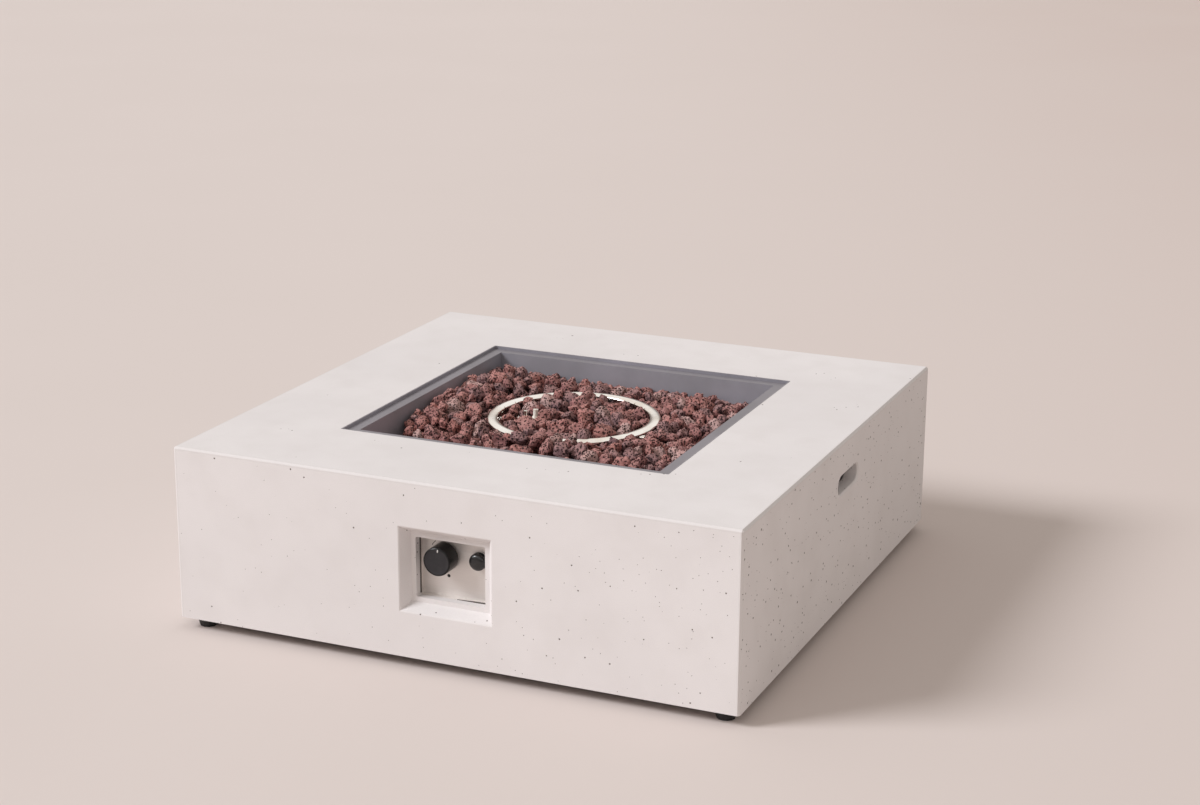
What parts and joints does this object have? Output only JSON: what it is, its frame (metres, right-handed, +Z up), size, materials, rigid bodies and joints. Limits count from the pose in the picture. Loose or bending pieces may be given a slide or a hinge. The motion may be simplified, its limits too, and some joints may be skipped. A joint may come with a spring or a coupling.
{
  "type": "gas fire table",
  "caption": "Low square cast-concrete gas fire table with a drop-in burner pan of lava rock, a ring burner and a control niche with a knob and igniter button.",
  "frame": {"origin": "on the floor under the table's centre, midway across its width and depth", "axes": "+Z up; -Y towards the control niche in the front wall; +X to the right when facing the niche"},
  "size_m": [0.9, 0.9, 0.288],
  "materials": {
    "concrete": "fine cast, matt",
    "pan_steel": "satin, heat dulled",
    "burner_steel": "satin",
    "panel_steel": "brushed",
    "black_plastic": "smooth",
    "foot_plastic": "moulded",
    "zinc_steel": "zinc plated",
    "brass": "turned",
    "valve_alloy": "die cast",
    "tube_aluminium": "drawn",
    "ceramic": "glazed white",
    "copper_lead": "drawn copper",
    "wire_rubber": "silicone sleeve",
    "battery": "sleeved",
    "lava": "broken, porous"
  },
  "bodies": {
    "table": {"concrete_shell": "concrete", "burner_pan": "pan_steel", "ring_burner": "burner_steel", "burner_nipple": "zinc_steel", "nipple_locknuts": "zinc_steel", "air_mixer": "brass", "control_panel": "panel_steel", "stem_spring": "zinc_steel", "valve_bonnet": "zinc_steel", "valve_body": "valve_alloy", "inlet_fitting": "brass", "magnet_unit": "brass", "thermocouple_nut": "brass", "igniter_housing": "black_plastic", "igniter_spring": "zinc_steel", "igniter_battery": "battery", "igniter_nut": "black_plastic", "igniter_terminal": "brass", "pilot_bracket": "burner_steel", "electrode_ceramic": "ceramic", "electrode_rod": "zinc_steel", "thermocouple_probe": "zinc_steel", "gas_tube": "tube_aluminium", "flare_nuts": "brass", "thermocouple_lead": "copper_lead", "ignition_wire": "wire_rubber", "lava_rocks": "lava"},
    "stem_push": {"stem_collar": "brass"},
    "knob": {"control_knob": "black_plastic", "valve_stem": "zinc_steel"},
    "igniter_button": {"igniter_button": "black_plastic", "button_plunger": "black_plastic"},
    "foot_front_left": {"foot_pad_front_left": "foot_plastic", "foot_stud_front_left": "zinc_steel"},
    "foot_front_right": {"foot_pad_front_right": "foot_plastic", "foot_stud_front_right": "zinc_steel"},
    "foot_back_right": {"foot_pad_back_right": "foot_plastic", "foot_stud_back_right": "zinc_steel"},
    "foot_back_left": {"foot_pad_back_left": "foot_plastic", "foot_stud_back_left": "zinc_steel"}
  },
  "joints": [
    {"name": "knob_push", "type": "slide", "parent": "table", "child": "stem_push", "axis": [0, 1, 0], "range_m": [0, 0.003], "stiffness_N_per_m": 1000, "springref_m": -0.005, "deforming": ["stem_spring"]},
    {"name": "knob_turn", "type": "hinge", "parent": "stem_push", "child": "knob", "pos_m": [-0.0175, -0.41, 0.1685], "axis": [0, -1, 0], "range_deg": [0, 180]},
    {"name": "igniter_push", "type": "slide", "parent": "table", "child": "igniter_button", "axis": [0, 1, 0], "range_m": [0, 0.003], "stiffness_N_per_m": 1500, "springref_m": -0.004, "deforming": ["igniter_spring"]},
    {"name": "foot_front_left_extend", "type": "slide", "parent": "table", "child": "foot_front_left", "axis": [0, 0, -1], "range_m": [0, 0.01]},
    {"name": "foot_front_right_extend", "type": "slide", "parent": "table", "child": "foot_front_right", "axis": [0, 0, -1], "range_m": [0, 0.01]},
    {"name": "foot_back_right_extend", "type": "slide", "parent": "table", "child": "foot_back_right", "axis": [0, 0, -1], "range_m": [0, 0.01]},
    {"name": "foot_back_left_extend", "type": "slide", "parent": "table", "child": "foot_back_left", "axis": [0, 0, -1], "range_m": [0, 0.01]}
  ]
}
